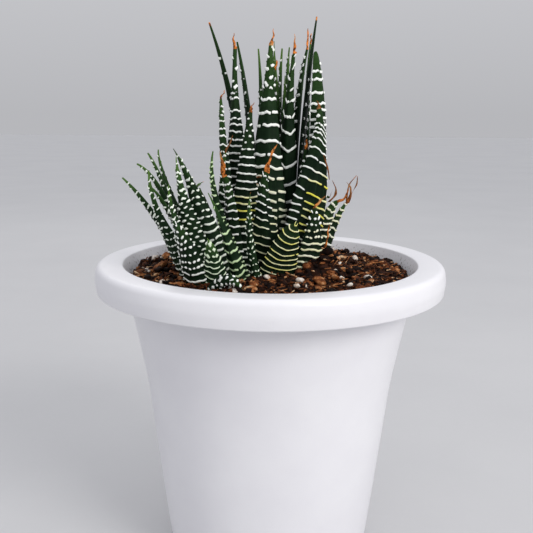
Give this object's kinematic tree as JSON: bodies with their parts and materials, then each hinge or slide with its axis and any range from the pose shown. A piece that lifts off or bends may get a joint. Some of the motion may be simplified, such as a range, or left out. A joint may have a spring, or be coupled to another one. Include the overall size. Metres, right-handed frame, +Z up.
{
  "type": "potted haworthia",
  "caption": "Clump of pointed, keeled succulent leaves with raised white bands and withered tips, with an offset at one side, in soil in a round white pot with a deep rim.",
  "frame": {"origin": "middle of the pot's foot, on the surface that the pot stands on", "axes": "+Z up along the pot's axis; -Y toward the side that the picture shows; +X to that view's right"},
  "size_m": [0.14, 0.14, 0.216],
  "materials": {
    "pot": "moulded white, satin gloss",
    "soil": "loose dark mix with bark chips and pale grit",
    "leaf": "waxy dark green with raised white bands",
    "dry_leaf": "withered, matt orange-brown"
  },
  "bodies": {
    "root": {"pot": "pot", "soil": "soil", "leaf_left_1": "leaf", "leaf_left_2": "leaf", "leaf_left_3": "leaf", "leaf_left_4": "leaf", "leaf_left_5": "leaf", "leaf_left_6": "leaf", "leaf_left_7": "leaf", "leaf_left_8": "leaf", "leaf_right_1": "leaf", "leaf_right_2": "leaf", "leaf_right_3": "leaf", "leaf_right_4": "leaf", "leaf_right_5": "leaf", "leaf_right_6": "leaf", "leaf_right_7": "leaf", "leaf_right_8": "leaf", "leaf_right_9": "leaf", "leaf_right_10": "leaf", "leaf_right_11": "leaf", "leaf_right_12": "leaf", "leaf_right_13": "leaf", "leaf_right_14": "leaf", "leaf_right_15": "leaf", "leaf_right_16": "leaf", "leaf_right_17": "leaf", "leaf_right_18": "leaf", "leaf_right_19": "dry_leaf", "leaf_right_20": "leaf", "leaf_front_1": "leaf", "leaf_front_2": "leaf", "leaf_front_3": "leaf", "leaf_offset_1": "leaf", "leaf_offset_2": "leaf", "leaf_offset_3": "leaf", "leaf_offset_4": "leaf", "leaf_offset_5": "leaf", "leaf_offset_6": "leaf", "leaf_offset_7": "leaf", "leaf_offset_8": "leaf", "leaf_offset_9": "leaf", "leaf_offset_10": "leaf", "leaf_offset_11": "leaf", "leaf_offset_12": "leaf", "leaf_offset_13": "leaf", "leaf_back_1": "leaf", "leaf_back_2": "leaf", "leaf_back_3": "leaf", "leaf_back_4": "leaf"}
  },
  "joints": []
}
